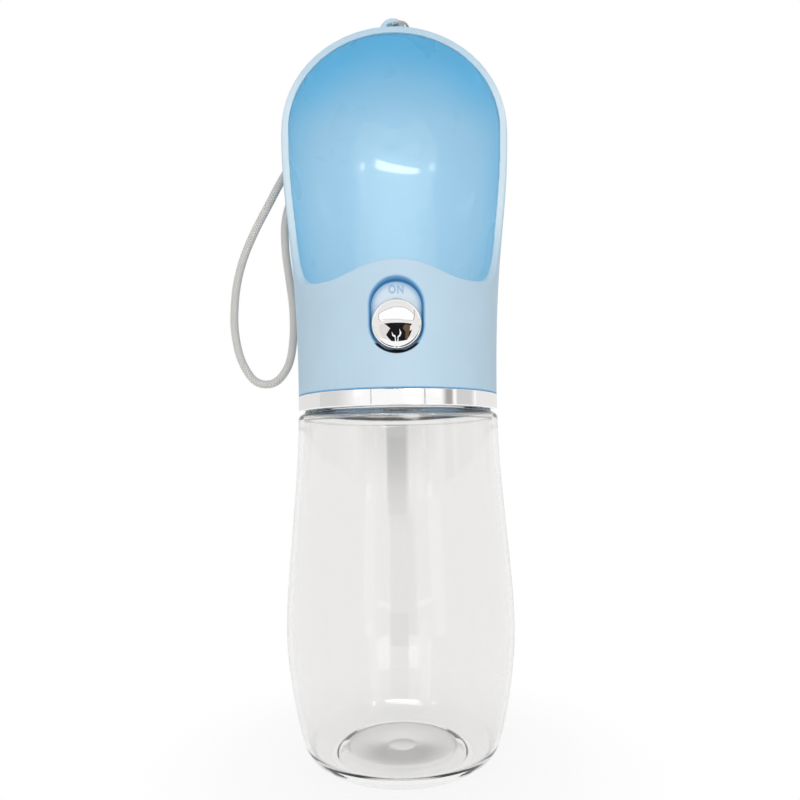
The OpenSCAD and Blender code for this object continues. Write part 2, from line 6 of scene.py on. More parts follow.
import bpy
from bpy.props import FloatProperty, FloatVectorProperty, IntProperty, PointerProperty
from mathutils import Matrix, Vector


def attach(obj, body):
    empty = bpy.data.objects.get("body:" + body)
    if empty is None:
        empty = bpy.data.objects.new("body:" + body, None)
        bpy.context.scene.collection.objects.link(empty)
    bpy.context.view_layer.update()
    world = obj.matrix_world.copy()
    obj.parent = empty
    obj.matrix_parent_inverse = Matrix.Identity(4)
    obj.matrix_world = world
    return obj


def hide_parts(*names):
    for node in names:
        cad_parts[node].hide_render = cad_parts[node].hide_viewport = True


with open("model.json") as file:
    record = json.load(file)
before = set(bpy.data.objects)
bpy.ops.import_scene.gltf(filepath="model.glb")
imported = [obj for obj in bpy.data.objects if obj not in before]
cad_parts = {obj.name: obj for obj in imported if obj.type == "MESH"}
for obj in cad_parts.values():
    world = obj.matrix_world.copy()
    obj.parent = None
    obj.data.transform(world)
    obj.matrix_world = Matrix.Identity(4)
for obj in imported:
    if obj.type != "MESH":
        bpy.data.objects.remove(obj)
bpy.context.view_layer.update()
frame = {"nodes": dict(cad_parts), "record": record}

bl_info = {
    "name": "Dog travel water bottle",
    "version": (1, 0, 0),
    "blender": (4, 5, 0),
    "location": "View3D > Sidebar > Water bottle",
    "description": "Builds the bottle's clear body, soft shell, threads, letters, lanyard, finishes and stage",
    "category": "Object",
}

MM = 0.001
NODES = frame["nodes"]
SWITCH_LOW, SWITCH_HIGH = 129.85 * MM, 135.15 * MM  # centres of the button's lowest and highest place
POCKET_FLOOR_Y = -27.6 * MM
EAR_SLOT_Z = 225.5 * MM


# ---------------- sizes and colours


def length_value(name, description, millimetres):
    return FloatProperty(name=name, description=description, default=millimetres * MM, unit="LENGTH")


def colour_value(name, description, rgb):
    return FloatVectorProperty(name=name, description=description, default=rgb, subtype="COLOR")


class BottleSizes(bpy.types.PropertyGroup):
    belly_r: length_value("Belly radius", "Widest radius of the bottle", 35.5)
    belly_z: length_value("Belly height", "Height of the widest place", 41)
    waist_r: length_value("Waist radius", "Radius under the shoulder", 31.1)
    shoulder_z: length_value("Shoulder height", "Height of the shoulder", 107.5)
    wall: length_value("Wall", "Wall of the bottle", 1.6)
    neck_r: length_value("Neck radius", "Outer radius of the neck", 26)
    steps: IntProperty(name="Steps", description="Faces round the bottle", default=144)


class ThreadSizes(bpy.types.PropertyGroup):
    pitch: length_value("Pitch", "Rise of the thread in one turn", 4)
    height: length_value("Height", "How far the thread stands out", 0.85)


class LanyardSizes(bpy.types.PropertyGroup):
    cord_d: length_value("Cord", "Diameter of the wrist cord", 2.6)
    string_d: length_value("String", "Diameter of the thin string", 0.8)


class HeadSizes(bpy.types.PropertyGroup):
    foot_z: length_value("Foot", "Height of the shell's foot", 112.55)
    side_top: length_value("Dome start", "Height at which the dome starts", 193.15)
    dome_h: length_value("Dome", "Height of the dome", 32.3)
    foot_r: length_value("Foot radius", "Radius of the shell's foot", 30.9)
    head_r: length_value("Head radius", "Widest radius of the head", 35.2)
    voxel: length_value("Voxel", "Voxel size of the softened shell", 0.35)
    rounds: IntProperty(name="Rounds", description="Smoothing rounds for the shell's outer edges", default=14)


class Colours(bpy.types.PropertyGroup):
    shell: colour_value("Shell", "Colour of the matt head", (0.495, 0.66, 0.785))
    trough: colour_value("Trough", "Colour of the glossy inside", (0.165, 0.66, 0.96))
    # Painted light: the trough turns towards this paler colour on its back wall.
    trough_painted_light: colour_value("Trough haze", "Colour of the trough's back wall", (0.56, 0.81, 0.94))
    core: colour_value("Core", "Colour of the parts under the shell", (0.36, 0.62, 0.86))
    # Painted highlight: a paler colour on the rim round the mouth.
    rim: colour_value("Rim", "Colour of the rim round the mouth", (0.62, 0.755, 0.84))
    pocket: colour_value("Pocket", "Colour of the switch pocket's floor", (0.8, 0.89, 0.95))
    # Painted shade on the pocket's rounded edge, also used for the painted shade line along the shell's foot.
    painted_edge_shade: colour_value("Pocket edge", "Colour of the pocket's soft edge", (0.13, 0.4, 0.7))
    # Painted shade on the pocket's deep wall.
    pocket_wall_shade: colour_value("Pocket wall", "Colour of the pocket's deep wall", (0.04, 0.22, 0.5))
    letters: colour_value("Letters", "Colour of the switch letters", (0.36, 0.6, 0.8))
    cord: colour_value("Cord", "Colour of the wrist cord", (0.66, 0.64, 0.61))
    string: colour_value("String", "Colour of the thin string", (0.5, 0.46, 0.42))


# ---------------- plain helpers


def sizes(name):
    return getattr(bpy.context.scene, name)


def mm(*points):
    """Points given in millimetres, in metres."""
    return [tuple(value * MM for value in point) for point in points]


def curve(a, b, c, d, n):
    """A cubic curve with n steps from a to d, with its handles at b and c."""
    points = []
    for i in range(n + 1):
        t = i / n
        s = 1 - t
        shares = (s**3, 3 * s * s * t, 3 * s * t * t, t**3)
        points.append(tuple(sum(share * v for share, v in zip(shares, values)) for values in zip(a, b, c, d)))
    return points


def arc(centre, radius, start, end, n):
    """Points on an arc, with angles in degrees."""
    turns = [radians(start + (end - start) * i / n) for i in range(n + 1)]
    return [(centre[0] + radius * cos(turned), centre[1] + radius * sin(turned)) for turned in turns]


def thin_out(points, gap=1e-6):
    """The points without those that repeat the one before."""
    kept = [points[0]]
    for p in points[1:]:
        if (Vector(p) - Vector(kept[-1])).length > gap:
            kept.append(p)
    return kept


def added(name, operator, location=(0, 0, 0), **values):
    """Adds an object by an operator, with nothing else selected, and names it."""
    bpy.ops.object.select_all(action="DESELECT")
    operator(location=location, **values)
    piece = bpy.context.object
    piece.name = name
    return piece


def draw_line(name, points):
    """Starts a piece as a line in the plane y = 0, through (x, z) points, and stays in edit mode."""
    piece = added(name, bpy.ops.mesh.primitive_plane_add, size=0.01)
    piece.data.name = name
    bpy.ops.object.mode_set(mode="EDIT")
    bpy.ops.mesh.select_all(action="SELECT")
    bpy.ops.mesh.merge(type="CENTER")
    bpy.ops.transform.translate(value=(points[0][0], 0, points[0][1]))
    for before, after in zip(points, points[1:]):
        step = (after[0] - before[0], 0, after[1] - before[1])
        bpy.ops.mesh.extrude_vertices_move(TRANSFORM_OT_translate={"value": step})
    bpy.ops.mesh.select_all(action="SELECT")
    return piece


def finish_mesh(piece, angle=35):
    """Leaves edit mode, with doubles merged and all faces pointing outwards, and smooths up to an angle."""
    bpy.ops.mesh.select_all(action="SELECT")
    bpy.ops.mesh.remove_doubles(threshold=2e-6)
    bpy.ops.mesh.normals_make_consistent(inside=False)
    bpy.ops.object.mode_set(mode="OBJECT")
    smooth_to(angle)
    return piece


def turn(name, outline, steps, angle=35):
    """A piece turned about Z from an outline of (radius, height) points."""
    piece = draw_line(name, thin_out(outline))
    bpy.ops.mesh.spin(steps=steps, angle=2 * pi, center=(0, 0, 0), axis=(0, 0, 1))
    return finish_mesh(piece, angle)


def weld(threshold=2e-6):
    """Merges the doubles of the active piece."""
    bpy.ops.object.mode_set(mode="EDIT")
    bpy.ops.mesh.select_all(action="SELECT")
    bpy.ops.mesh.remove_doubles(threshold=threshold)
    bpy.ops.object.mode_set(mode="OBJECT")


def merged_copy(node, name):
    """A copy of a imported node's mesh as a new piece, with its loose triangles merged."""
    piece = NODES[node].copy()
    piece.data = piece.data.copy()
    piece.name = piece.data.name = name
    bpy.context.scene.collection.objects.link(piece)
    bpy.ops.object.select_all(action="DESELECT")
    piece.select_set(True)
    bpy.context.view_layer.objects.active = piece
    weld()
    return piece


def smooth_to(angle):
    """Smooths the selected piece where its faces meet at less than an angle."""
    bpy.ops.object.shade_smooth_by_angle(angle=radians(angle))


def apply_modifiers(piece):
    bpy.context.view_layer.objects.active = piece
    for modifier in list(piece.modifiers):
        bpy.ops.object.modifier_apply(modifier=modifier.name)


def apply_place(piece, place, rotation=None):
    """Puts the selected piece in its place, and moves the place into its mesh."""
    piece.location = place
    if rotation:
        piece.rotation_euler = rotation
    bpy.ops.object.transform_apply(location=True, rotation=True, scale=True)


def dress(piece, material):
    """Gives a piece one material."""
    piece.data.materials.clear()
    piece.data.materials.append(material)


def seat(piece, body, slot, look=None):
    """Gives a piece the finish of its slot, or of another look, and the body that it moves with."""
    dress(piece, finish(look or slot))
    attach(piece, body)


# ---------------- shader helpers and groups


def node_of(tree, kind, **values):
    node = tree.nodes.new(kind)
    for key, value in values.items():
        if key in node.inputs:
            node.inputs[key].default_value = value
        else:
            setattr(node, key, value)
    return node


def maths(tree, operation, a, b=None):
    """A Math node. Sockets are linked and numbers are set."""
    node = node_of(tree, "ShaderNodeMath", operation=operation)
    for i, value in enumerate((a, b)):
        if hasattr(value, "is_output"):
            tree.links.new(value, node.inputs[i])
        elif value is not None:
            node.inputs[i].default_value = value
    return node.outputs[0]


def product(tree, result, *others):
    """All the values multiplied, by Math nodes."""
    for other in others:
        result = maths(tree, "MULTIPLY", result, other)
    return result


def from_axis(tree, a, b):
    """How far a place is from an axis, from its two coordinates across it."""
    return maths(tree, "SQRT", maths(tree, "ADD", product(tree, a, a), product(tree, b, b)))


def map_range(tree, value, start, end, low, high, kind="SMOOTHSTEP"):
    """A value that goes from low to high while another goes from start to end."""
    node = node_of(tree, "ShaderNodeMapRange", interpolation_type=kind)
    for key, limit in (("From Min", start), ("From Max", end), ("To Min", low), ("To Max", high)):
        node.inputs[key].default_value = limit
    tree.links.new(value, node.inputs["Value"])
    return node.outputs["Result"]


def fade(tree, value, start, end):
    """A mask that goes smoothly from 0 at start to 1 at end."""
    return map_range(tree, value, min(start, end), max(start, end), float(start > end), float(start < end))


def places(tree, output="Object"):
    return tree.nodes.new("ShaderNodeTexCoord").outputs[output]


def place_parts(tree, output="Object"):
    """The object or UV coordinates as three sockets."""
    parts = tree.nodes.new("ShaderNodeSeparateXYZ")
    tree.links.new(places(tree, output), parts.inputs[0])
    return parts.outputs


def mix_out(tree, mask, one, other):
    """Mixes two shaders by a mask into the tree's output."""
    mix = tree.nodes.new("ShaderNodeMixShader")
    for value, socket in zip((mask, one.outputs[0], other.outputs[0]), mix.inputs):
        tree.links.new(value, socket)
    out = next(node for node in tree.nodes if node.type in ("OUTPUT_MATERIAL", "OUTPUT_WORLD"))
    tree.links.new(mix.outputs[0], out.inputs[0])


def new_group(name, inputs, outputs):
    """A shader group with float inputs given as {name: default} and float outputs given by name."""
    tree = bpy.data.node_groups.new(name, "ShaderNodeTree")
    for label, value in inputs.items():
        socket = tree.interface.new_socket(label, in_out="INPUT", socket_type="NodeSocketFloat")
        socket.default_value = value
    for label in outputs:
        tree.interface.new_socket(label, in_out="OUTPUT", socket_type="NodeSocketFloat")
    return tree, tree.nodes.new("NodeGroupInput"), tree.nodes.new("NodeGroupOutput")


def moulded_group():
    """Fine grain of moulded plastic: a height for a Bump node and a mask that varies slowly."""
    tree, source, sink = new_group("moulded grain", {"Scale": 2500, "Patch": 60}, ("Height", "Patches"))
    place = places(tree)
    grain = node_of(tree, "ShaderNodeTexNoise", Detail=3.0, Roughness=0.6)
    patch = node_of(tree, "ShaderNodeTexNoise", Detail=2.0, Roughness=0.5)
    for noise, label, output in ((grain, "Scale", "Height"), (patch, "Patch", "Patches")):
        tree.links.new(place, noise.inputs["Vector"])
        tree.links.new(source.outputs[label], noise.inputs["Scale"])
        tree.links.new(noise.outputs["Fac"], sink.inputs[output])


def rubbed_group():
    """Fine rubbing marks on plated and drawn metal, stretched along one axis, as a height and a mask."""
    tree, source, sink = new_group("rubbed marks", {"Scale": 900, "Stretch": 6}, ("Height", "Marks"))
    across = tree.nodes.new("ShaderNodeCombineXYZ")
    across.inputs[0].default_value = across.inputs[1].default_value = 1
    tree.links.new(source.outputs["Stretch"], across.inputs[2])
    stretched = node_of(tree, "ShaderNodeVectorMath", operation="MULTIPLY")
    tree.links.new(places(tree), stretched.inputs[0])
    tree.links.new(across.outputs[0], stretched.inputs[1])
    noise = node_of(tree, "ShaderNodeTexNoise", Detail=4.0, Roughness=0.55)
    tree.links.new(stretched.outputs[0], noise.inputs["Vector"])
    tree.links.new(source.outputs["Scale"], noise.inputs["Scale"])
    for output in ("Height", "Marks"):
        tree.links.new(noise.outputs["Fac"], sink.inputs[output])


def braid_group():
    """Strands of a cord, read from its UV map: U runs round the cord and V along it, in turns of the braid."""
    tree, source, sink = new_group("braid", {"Strands": 8, "Slant": 1}, ("Height", "Shade"))
    u, v, _ = place_parts(tree, "UV")
    around = product(tree, u, source.outputs["Strands"])
    along = product(tree, v, source.outputs["Slant"])
    waves = [maths(tree, "SINE", product(tree, maths(tree, way, around, along), pi)) for way in ("ADD", "SUBTRACT")]
    one, other = [maths(tree, "ABSOLUTE", wave) for wave in waves]
    over = maths(tree, "GREATER_THAN", product(tree, *waves), 0.0)
    mixed = maths(tree, "ADD", product(tree, one, over), product(tree, other, maths(tree, "SUBTRACT", 1.0, over)))
    fibre = node_of(tree, "ShaderNodeTexNoise", Scale=6000.0, Detail=2.0)
    tree.links.new(places(tree), fibre.inputs["Vector"])
    height = maths(tree, "ADD", product(tree, mixed, 0.8), product(tree, fibre.outputs["Fac"], 0.2))
    tree.links.new(height, sink.inputs["Height"])
    tree.links.new(mixed, sink.inputs["Shade"])


# ---------------- materials


def start_material(name, base, roughness, **plain):
    """A material with its Principled BSDF. Values in plain are set on the shader's own sockets."""
    material = bpy.data.materials.new(name)
    material.use_nodes = True
    tree = material.node_tree
    shader = tree.nodes["Principled BSDF"]
    shader.inputs["Base Color"].default_value = (*base, 1)
    shader.inputs["Roughness"].default_value = roughness
    for key, value in plain.items():
        shader.inputs[key.replace("_", " ")].default_value = value
    return material, tree, shader


def put_group(tree, group, **values):
    """A node of one of the shader groups, with its inputs set."""
    return node_of(tree, "ShaderNodeGroup", node_tree=bpy.data.node_groups[group], **values)


def bump(tree, shader, height, strength, distance):
    node = node_of(tree, "ShaderNodeBump", Strength=strength, Distance=distance)
    tree.links.new(height, node.inputs["Height"])
    tree.links.new(node.outputs[0], shader.inputs["Normal"])


def ramp(tree, mask, low, high, socket):
    """Turns the middle of a mask's range into a value or colour between low and high, and links it."""
    start, end = 0.3, 0.7
    if isinstance(low, (float, int)):
        tree.links.new(map_range(tree, mask, start, end, low, high, kind="LINEAR"), socket)
        return
    node = tree.nodes.new("ShaderNodeValToRGB")
    for element, at, colour in zip(node.color_ramp.elements, (start, end), (low, high)):
        element.position = at
        element.color = (*colour, 1)
    tree.links.new(mask, node.inputs["Fac"])
    tree.links.new(node.outputs["Color"], socket)


def tint(colour, share):
    return tuple(min(1.0, c * share) for c in colour)


def moulded(name, base, roughness, grain=0.08, **plain):
    """Moulded plastic or rubber: a fine grain, and colour and gloss that vary a little."""
    spread, vary = 0.03, 0.04
    material, tree, shader = start_material(name, base, roughness, **plain)
    group = put_group(tree, "moulded grain")
    bump(tree, shader, group.outputs["Height"], grain, 0.00004)
    patches = group.outputs["Patches"]
    ramp(tree, patches, tint(base, 1 - spread), tint(base, 1 + spread), shader.inputs["Base Color"])
    ramp(tree, patches, max(0.02, roughness - vary), roughness + vary, shader.inputs["Roughness"])
    return material


def mix_in(tree, socket, mask, colour):
    """Mixes a plain colour by a mask into what is linked to a socket."""
    node = node_of(tree, "ShaderNodeMix", data_type="RGBA")
    tree.links.new(mask, node.inputs[0])
    tree.links.new(socket.links[0].from_socket, node.inputs[6])
    node.inputs[7].default_value = (*colour, 1)
    tree.links.new(node.outputs[2], socket)


def shell_plastic(name, colours):
    """Matt plastic of the shell, with its switch pocket's pale floor; painted shade on the pocket's edge, on its blue
    wall and at the sides of its floor; a dark painted shadow at its foot under the button; painted light in the ear's
    slot; a painted shade line at the shell's foot; and a paler rim that is a painted highlight.
    """
    material = moulded(name, colours.shell, 0.5, grain=0.12, Specular_IOR_Level=0.2)
    tree = material.node_tree
    x, y, z = place_parts(tree)

    def band(value, start, end):
        return fade(tree, value, start * MM, end * MM)

    nearest = maths(tree, "MINIMUM", maths(tree, "MAXIMUM", z, SWITCH_LOW), SWITCH_HIGH)
    away = from_axis(tree, x, maths(tree, "SUBTRACT", z, nearest))
    front = band(y, -20, -24)
    inside = product(tree, band(away, 8.15, 7.3), front)
    floor = product(tree, band(away, 7, 6.85), band(y, -28.3, -27.9), band(z, 123.2, 123.6), front)
    from_slot = maths(tree, "ABSOLUTE", maths(tree, "SUBTRACT", z, EAR_SLOT_Z))
    layers = (
        # Painted shade on the pocket's rounded edge, all round but at its foot.
        (product(tree, inside, band(z, 123, 126)), colours.painted_edge_shade),
        # Painted shade: the pocket's wall darkens deep in the pocket and towards its top.
        (product(tree, inside, band(y, -30.4, -28.9), band(z, 128, 139)), colours.pocket_wall_shade),
        # Painted shadow: near black at the pocket's foot, under the button.
        (product(tree, band(away, 8.05, 7.85), front, band(z, 125.2, 124.5)), (0.002, 0.003, 0.005)),
        # Painted shade: the floor is mid-blue at its sides, towards the pocket's wall, and pale in its middle.
        (floor, (0.42, 0.66, 0.88)),
        (product(tree, floor, band(away, 7.2, 5.2)), colours.pocket),
        # Painted light: a bright blue inside the ear's narrow slot, where it would be in shade.
        (product(tree, band(from_slot, 0.75, 0.6), band(maths(tree, "ABSOLUTE", x), 2.2, 1.9)), (0.6, 0.85, 1)),
        # Painted shade: a darker blue line along the shell's foot, above the ring.
        (product(tree, band(z, 113.1, 112.8), 0.8), colours.painted_edge_shade),
        # Painted highlight: the rim round the mouth is paler than the shell.
        (product(tree, band(z, 152, 170), band(z, 216, 200), band(y, -6.5, -8.5)), colours.rim),
    )
    for mask, colour in layers:
        mix_in(tree, tree.nodes["Principled BSDF"].inputs["Base Color"], mask, colour)
    return material


def trough_plastic(name, colours):
    """Glossy plastic of the trough, with painted light and shade: deep blue under its ceiling and near its rim, and
    paler on its back wall.
    """
    gloss = {"Specular_IOR_Level": 0.2, "Coat_Weight": 1.0, "Coat_Roughness": 0.03}
    material = moulded(name, colours.trough, 0.3, grain=0.03, **gloss)
    tree = material.node_tree
    _, y, z = place_parts(tree)
    # Painted light: paler towards the back wall, deep blue under the ceiling and near the rim.
    depth = maths(tree, "SUBTRACT", y, product(tree, fade(tree, z, 200 * MM, 215 * MM), 7 * MM))
    back_wall_painted_light = fade(tree, depth, -13 * MM, 21 * MM)
    mix_in(tree, tree.nodes["Principled BSDF"].inputs["Base Color"], back_wall_painted_light, colours.trough_painted_light)
    return material


def rubbed(name, base, roughness, depth=0.03, **values):
    """Plated or drawn metal with fine rubbing marks."""
    material, tree, shader = start_material(name, base, roughness, Metallic=1.0)
    group = put_group(tree, "rubbed marks", **values)
    marks = group.outputs["Marks"]
    bump(tree, shader, group.outputs["Height"], depth, 0.00002)
    ramp(tree, marks, tint(base, 0.97), tint(base, 1.02), shader.inputs["Base Color"])
    ramp(tree, marks, max(0.015, roughness * 0.7), roughness * 1.3, shader.inputs["Roughness"])
    return material


def clear_plastic(name, base, roughness):
    """Clear plastic that lets light through to what stands behind it, stippled under its base."""
    material, tree, shader = start_material(name, base, roughness, Transmission_Weight=1.0, IOR=1.5)
    rough = shader.inputs["Roughness"]
    group = put_group(tree, "moulded grain", Scale=90.0, Patch=30.0)
    bump(tree, shader, group.outputs["Height"], 0.05, 0.0002)
    ramp(tree, group.outputs["Patches"], roughness, roughness + 0.02, rough)
    x, y, z = place_parts(tree)
    round_base = fade(tree, from_axis(tree, x, y), 18 * MM, 16.5 * MM)
    stipple = product(tree, round_base, fade(tree, z, 5 * MM, 4.5 * MM), 0.3)
    tree.links.new(maths(tree, "ADD", rough.links[0].from_socket, stipple), rough)
    through = node_of(tree, "ShaderNodeBsdfTransparent", Color=(*tint(base, 0.98), 1))
    light = tree.nodes.new("ShaderNodeLightPath").outputs
    mix_out(tree, maths(tree, "MAXIMUM", light["Is Shadow Ray"], light["Is Diffuse Ray"]), shader, through)
    return material


def braided(name, base, strands):
    """Fibre cord: strands from the braid group, darker between them by painted shade."""
    material, tree, shader = start_material(name, base, 0.85, Sheen_Weight=0.25, Sheen_Roughness=0.5)
    group = put_group(tree, "braid", Strands=strands, Slant=1.0)
    bump(tree, shader, group.outputs["Height"], 0.7, 0.00018)
    # Painted shade: the colour darkens between the strands.
    ramp(tree, group.outputs["Shade"], tint(base, 0.62), tint(base, 1.12), shader.inputs["Base Color"])
    return material


def make_finishes(colours):
    """Builds the shader groups and the materials. Returns the materials by the record's slot."""
    moulded_group()
    rubbed_group()
    braid_group()
    soft = {"grain": 0.2, "Subsurface_Weight": 0.2, "Subsurface_Scale": 0.002}
    return {
        "clear_bottle": clear_plastic("clear plastic", (0.905, 0.9, 0.895), 0.015),
        "matte_shell": shell_plastic("matt shell", colours),
        "glossy_trough": trough_plastic("glossy trough", colours),
        "bright_trim": rubbed("bright trim", (0.95, 0.95, 0.95), 0.04),
        "core_plastic": moulded("core plastic", colours.core, 0.35),
        "letters": moulded("switch letters", colours.letters, 0.4),
        "white_plastic": moulded("white plastic", (0.86, 0.86, 0.85), 0.32),
        "silicone": moulded("silicone", (0.8, 0.83, 0.85), 0.55, **soft),
        "spring_steel": rubbed("spring steel", (0.62, 0.62, 0.62), 0.22, depth=0.1, Scale=2000.0),
        "ferrule_metal": rubbed("ferrule metal", (0.66, 0.65, 0.63), 0.3, depth=0.1, Scale=1500.0),
        "woven_cord": braided("woven cord", colours.cord, 6.0),
        "string_fibre": braided("string fibre", colours.string, 3.0),
    }


FINISH_NAMES = {}


def finish(slot):
    return bpy.data.materials[FINISH_NAMES[slot]]


# ---------------- bottle


def bottle_side(s):
    """Outer side from the foot's land to the shoulder, as (radius, height) points."""
    foot = 22 * MM
    low = (s.belly_r - 4.4 * MM, s.belly_z / 5)
    belly = (s.belly_r, s.belly_z)
    top = (s.waist_r, s.shoulder_z - 2.3 * MM)
    return thin_out(
        curve((foot, 0), (foot + 4 * MM, 0), (foot + 8 * MM, 3.2 * MM), low, 14)
        + curve(low, (s.belly_r - 2.6 * MM, s.belly_z * 0.38), (s.belly_r, s.belly_z * 0.7), belly, 14)
        + curve(belly, (s.belly_r, s.belly_z + 15 * MM), (s.waist_r, s.shoulder_z - 19.5 * MM), top, 22)
    )


class WATERBOTTLE_OT_bottle(bpy.types.Operator):
    """Turns the clear bottle, with its pushed-in base, gate ring, shoulder and neck"""

    bl_idname = "waterbottle.bottle"
    bl_label = "Clear bottle"

    def execute(self, context):
        s = sizes("bottle_sizes")
        side = bottle_side(s)
        round_out, round_in, lip = 2.3 * MM, 1.2 * MM, 0.35 * MM
        inner_r, inner_z = s.waist_r - s.wall, s.shoulder_z - s.wall
        neck_top, bore, shoulder_z = 118 * MM, s.neck_r - 1.8 * MM, s.shoulder_z
        under = mm((0, 2.4), (4.05, 2.4), (4.4, 2.15), (4.75, 2.4))
        under += curve(*mm((14.6, 2.4), (16.4, 2.4), (17.4, 2), (19.6, 0)), 10)
        shoulder = arc((s.waist_r - round_out, shoulder_z - round_out), round_out, 0, 90, 8)
        neck = [(s.neck_r + 0.5 * MM, shoulder_z), (s.neck_r, shoulder_z + 0.5 * MM)]
        neck += [(s.neck_r, neck_top - lip), (s.neck_r - lip, neck_top), (bore + lip, neck_top)]
        neck += [(bore, neck_top - lip), (bore, inner_z + 0.6 * MM), (bore + 0.6 * MM, inner_z)]
        inside = arc((inner_r - round_in, inner_z - round_in), round_in, 90, 0, 6)
        inside += [(r - s.wall, z) for r, z in reversed(side) if z > 5.4 * MM]
        floor = curve(inside[-1], *mm((25.4, 2.9), (23.4, 1.8), (21.6, 2)), 8)
        floor += curve(floor[-1], *mm((20.2, 2.2), (19.2, 4.2), (17.2, 4.2)), 8)
        outline = under + side + shoulder + neck + inside + floor + mm((0, 4.2))
        piece = turn("clear_bottle", outline, s.steps, angle=40)
        seat(piece, "bottle", "clear_bottle")
        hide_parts("bottle")
        return {"FINISHED"}


def helix(name, radius, height, start_z, turns, pitch, inward=False):
    """A screw thread: a low trapezoid swept round and up, closed at both ends."""
    root, crest, steps_a_turn = 0.75 * MM, 0.32 * MM, 72
    way = -1 if inward else 1
    sunk, tip = radius - way * 0.15 * MM, radius + way * height
    outline = [(sunk, -root), (radius, -root), (tip, -crest), (tip, crest), (radius, root), (sunk, root)]
    piece = draw_line(name, [(r, start_z + z) for r, z in outline])
    bpy.ops.mesh.edge_face_add()
    bpy.ops.mesh.delete(type="ONLY_FACE")
    bpy.ops.object.mode_set(mode="OBJECT")
    screw = piece.modifiers.new("screw", "SCREW")
    screw.angle = 2 * pi * turns
    screw.screw_offset = pitch * turns
    screw.iterations = 1
    screw.steps = screw.render_steps = int(steps_a_turn * turns)
    apply_modifiers(piece)
    bpy.ops.object.mode_set(mode="EDIT")
    bpy.ops.mesh.select_mode(type="EDGE")
    bpy.ops.mesh.select_all(action="DESELECT")
    bpy.ops.mesh.select_non_manifold(extend=False)
    bpy.ops.mesh.edge_face_add()
    bpy.ops.mesh.select_mode(type="VERT")
    return finish_mesh(piece, 30)


class WATERBOTTLE_OT_threads(bpy.types.Operator):
    """Sweeps the bottle neck's thread and the socket core's thread, which mesh at rest"""

    bl_idname = "waterbottle.threads"
    bl_label = "Screw threads"

    def execute(self, context):
        s, t = sizes("bottle_sizes"), sizes("thread_sizes")
        low, core_r = 109.6 * MM, 27.3 * MM
        neck = helix("neck_thread", s.neck_r, t.height, low, 1.6, t.pitch)
        seat(neck, "bottle", "clear_bottle")
        core = helix("core_thread", core_r, t.height, low + t.pitch / 2, 1.25, t.pitch, inward=True)
        seat(core, "head", "core_plastic")
        return {"FINISHED"}


# ---------------- shell, trough, trim and letters


def depth_under(s, side, x, y, z):
    """How far a point lies under the head's outer form."""
    away = hypot(x, y)
    if z >= s.side_top:
        return (1 - hypot(away / s.head_r, (z - s.side_top) / s.dome_h)) * s.dome_h
    for low, high in zip(side, side[1:]):
        if z <= high[1]:
            share = max(0.0, (z - low[1]) / (high[1] - low[1]))
            return low[0] + (high[0] - low[0]) * share - away
    return s.head_r - away


class WATERBOTTLE_OT_shell(bpy.types.Operator):
    """Softens the outer edges of the shell, its rim, lip, pocket and ear, on a remeshed copy of its solid"""

    bl_idname = "waterbottle.shell"
    bl_label = "Soft shell"

    def execute(self, context):
        s = sizes("head_sizes")
        high = s.side_top - s.foot_z
        handles = ((s.foot_r, s.foot_z + high * 0.58), (s.head_r, s.foot_z + high * 0.665))
        side = curve((s.foot_r, s.foot_z), *handles, (s.head_r, s.side_top), 40)
        piece = merged_copy("outer_shell", "soft_shell")
        remesh = piece.modifiers.new("remesh", "REMESH")
        remesh.mode = "VOXEL"
        remesh.voxel_size = s.voxel
        apply_modifiers(piece)
        weights = piece.vertex_groups.new(name="outside")
        skin, fading, proud, proud_share = 1.6 * MM, 0.4 * MM, 0.3 * MM, 0.3
        kept_foot, rise, levels, triangles = 0.3 * MM, 2 * MM, 20, 185000
        shares = {}
        for vertex in piece.data.vertices:
            depth = depth_under(s, side, *vertex.co)
            share = min(1.0, max(0.0, (skin - depth) / fading))
            if depth < -proud:
                share = proud_share
            share *= min(1.0, max(0.0, (vertex.co.z - s.foot_z - kept_foot) / rise))
            shares.setdefault(round(share * levels) / levels, []).append(vertex.index)
        for share, members in shares.items():
            weights.add(members, share, "REPLACE")
        smooth = piece.modifiers.new("smooth", "SMOOTH")
        smooth.factor = 0.5
        smooth.iterations = s.rounds
        smooth.vertex_group = "outside"
        thin = piece.modifiers.new("thin", "DECIMATE")
        thin.ratio = min(1.0, triangles / (2 * len(piece.data.polygons)))
        apply_modifiers(piece)
        smooth_to(50)
        seat(piece, "head", "matte_shell")
        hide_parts("outer_shell")
        return {"FINISHED"}


class WATERBOTTLE_OT_trough(bpy.types.Operator):
    """Shades the trough smoothly, on a merged copy of its solid, so that its gloss shows no facets"""

    bl_idname = "waterbottle.trough"
    bl_label = "Smooth trough"

    def execute(self, context):
        piece = merged_copy("trough", "smooth_trough")
        smooth_to(32)
        even = piece.modifiers.new("even", "WEIGHTED_NORMAL")
        even.keep_sharp = True
        even.weight = 100
        apply_modifiers(piece)
        seat(piece, "head", "glossy_trough")
        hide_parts("trough")
        return {"FINISHED"}


